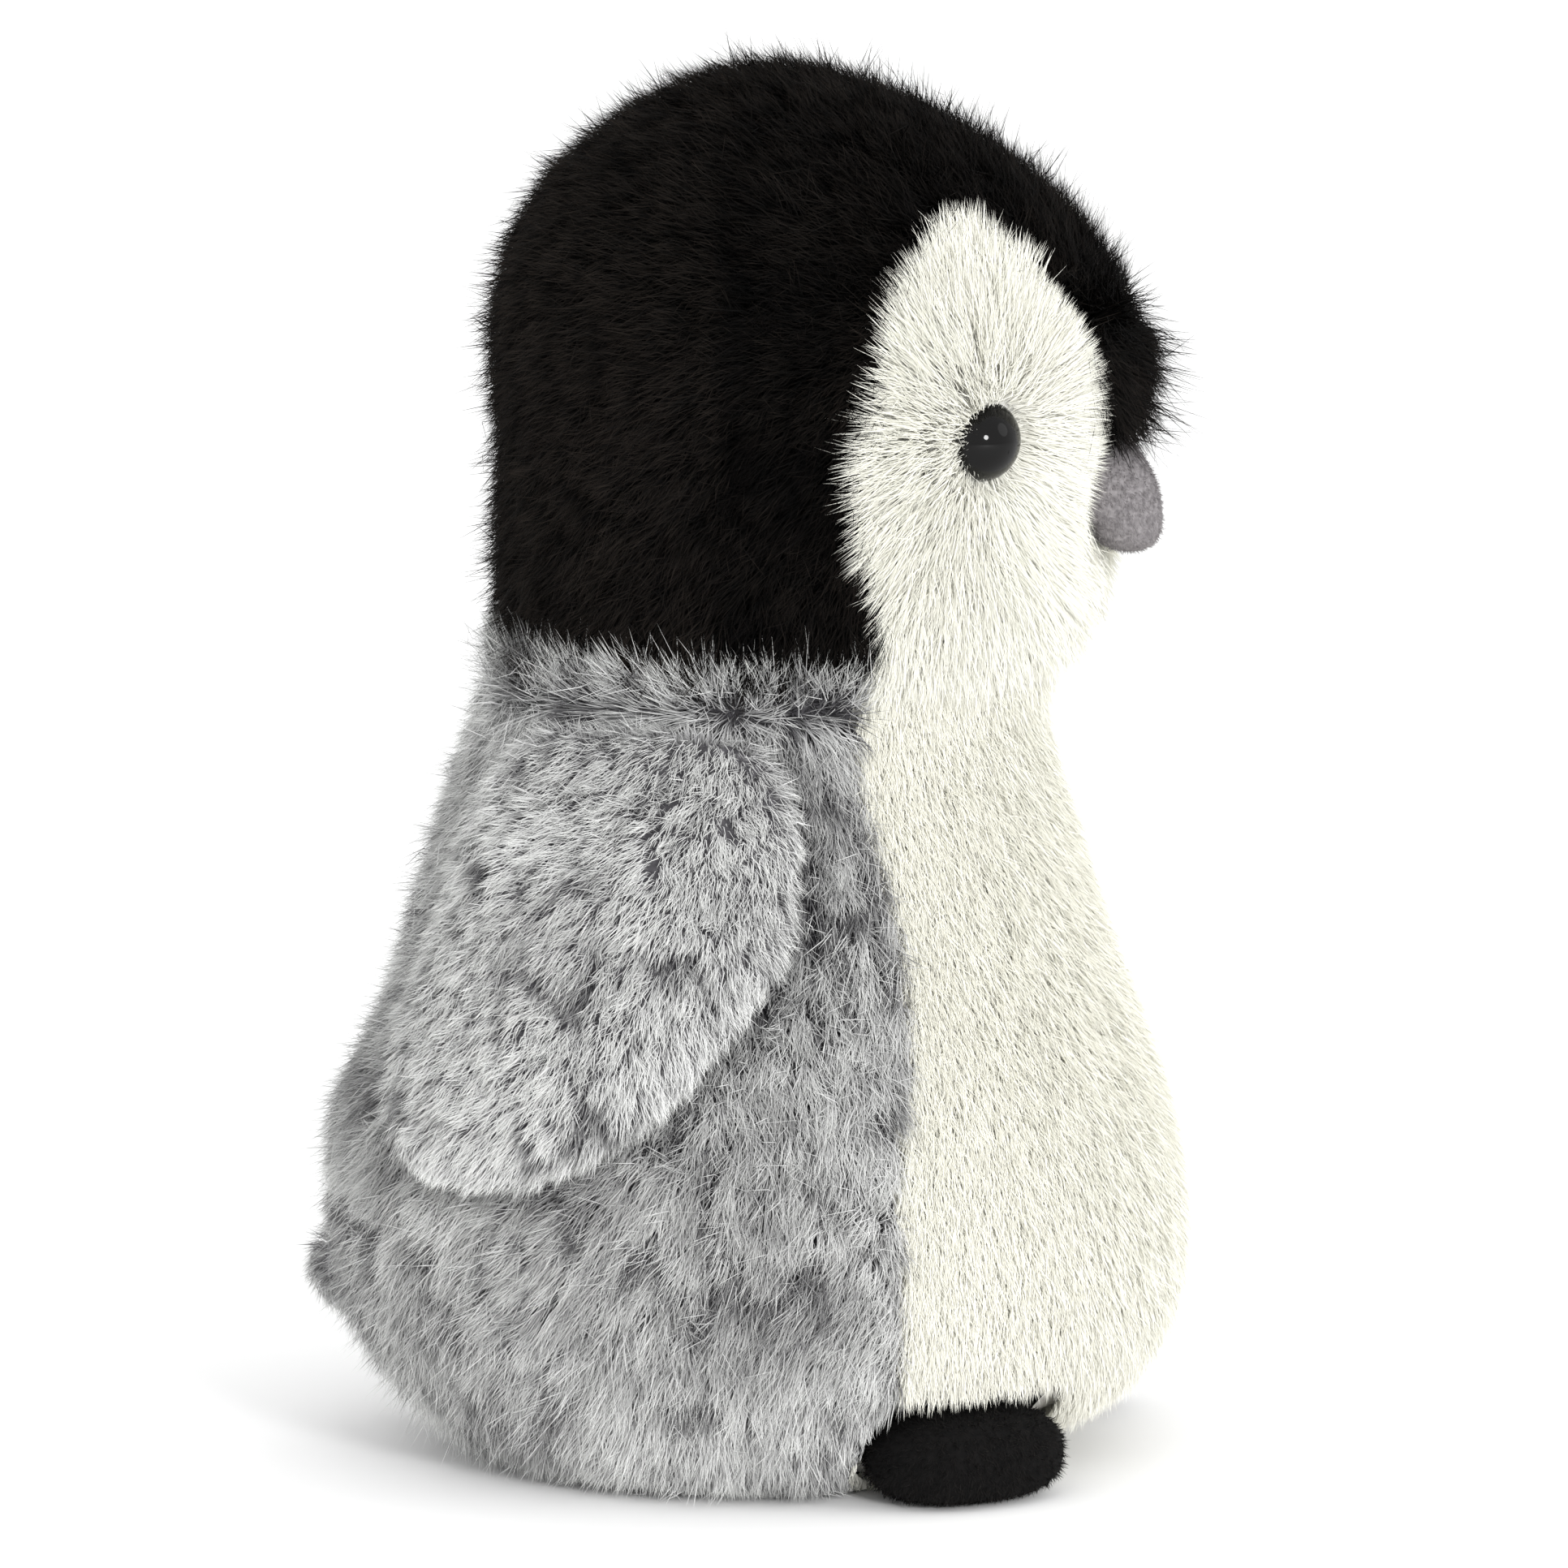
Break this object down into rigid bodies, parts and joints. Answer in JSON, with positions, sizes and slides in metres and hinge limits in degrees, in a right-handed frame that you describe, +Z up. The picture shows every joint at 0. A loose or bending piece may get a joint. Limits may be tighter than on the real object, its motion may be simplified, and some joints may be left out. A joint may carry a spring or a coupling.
{
  "type": "plush penguin",
  "caption": "Seated plush penguin with a black head, white face and belly, frosted grey back and hanging wings, moulded glossy eyes, a short grey beak and padded felt feet.",
  "frame": {"origin": "middle of the toy's outline, on the table it stands on", "axes": "+Z up through the crown, -Y the way the beak points, +X the toy's left side"},
  "size_m": [0.1288, 0.1293, 0.2056],
  "materials": {
    "face_pile": "long pile",
    "belly_pile": "short dense pile",
    "black_pile": "long pile",
    "grey_pile": "frosted long pile",
    "base_cloth": "short pile",
    "beak_nap": "short nap",
    "black_felt": "brushed felt",
    "eye_gloss": "gloss",
    "washer": "matte",
    "pouch_cloth": "woven",
    "pellets": "matte",
    "filling": "loose fibre"
  },
  "bodies": {
    "body": {"face_right": "face_pile", "face_left": "face_pile", "brow_gusset": "black_pile", "head_side_right": "black_pile", "head_side_left": "black_pile", "head_back": "black_pile", "beak_upper": "beak_nap", "beak_lower": "beak_nap", "beak_stuffing": "filling", "eye_right": "eye_gloss", "eye_left": "eye_gloss", "eye_washer_right": "washer", "eye_washer_left": "washer", "head_stuffing": "filling", "belly_panel": "belly_pile", "body_side_right": "grey_pile", "body_side_left": "grey_pile", "rump_panel": "grey_pile", "base_panel": "base_cloth", "body_stuffing": "filling", "pellet_pouch": "pouch_cloth", "pellet_fill": "pellets", "tail": "grey_pile"},
    "right_wing": {"wing_outer_right": "grey_pile", "wing_inner_right": "grey_pile", "wing_padding_right": "filling"},
    "left_wing": {"wing_outer_left": "grey_pile", "wing_inner_left": "grey_pile", "wing_padding_left": "filling"},
    "right_foot": {"foot_upper_right": "black_felt", "foot_sole_right": "black_felt", "foot_stuffing_right": "filling"},
    "left_foot": {"foot_upper_left": "black_felt", "foot_sole_left": "black_felt", "foot_stuffing_left": "filling"}
  },
  "joints": [
    {"name": "right_shoulder", "type": "hinge", "parent": "body", "child": "right_wing", "pos_m": [-0.0409, 0.00925, 0.1131], "axis": [0.2334, 0.9724, 0], "range_deg": [0, 90]},
    {"name": "left_shoulder", "type": "hinge", "parent": "body", "child": "left_wing", "pos_m": [0.0409, 0.00925, 0.1131], "axis": [0.2334, -0.9724, 0], "range_deg": [0, 90]},
    {"name": "right_heel", "type": "hinge", "parent": "body", "child": "right_foot", "pos_m": [-0.02991, -0.02949, 0.0125], "axis": [-0.682, 0.7314, 0], "range_deg": [0, 10]},
    {"name": "left_heel", "type": "hinge", "parent": "body", "child": "left_foot", "pos_m": [0.02991, -0.02949, 0.0125], "axis": [-0.682, -0.7314, 0], "range_deg": [0, 10]}
  ]
}
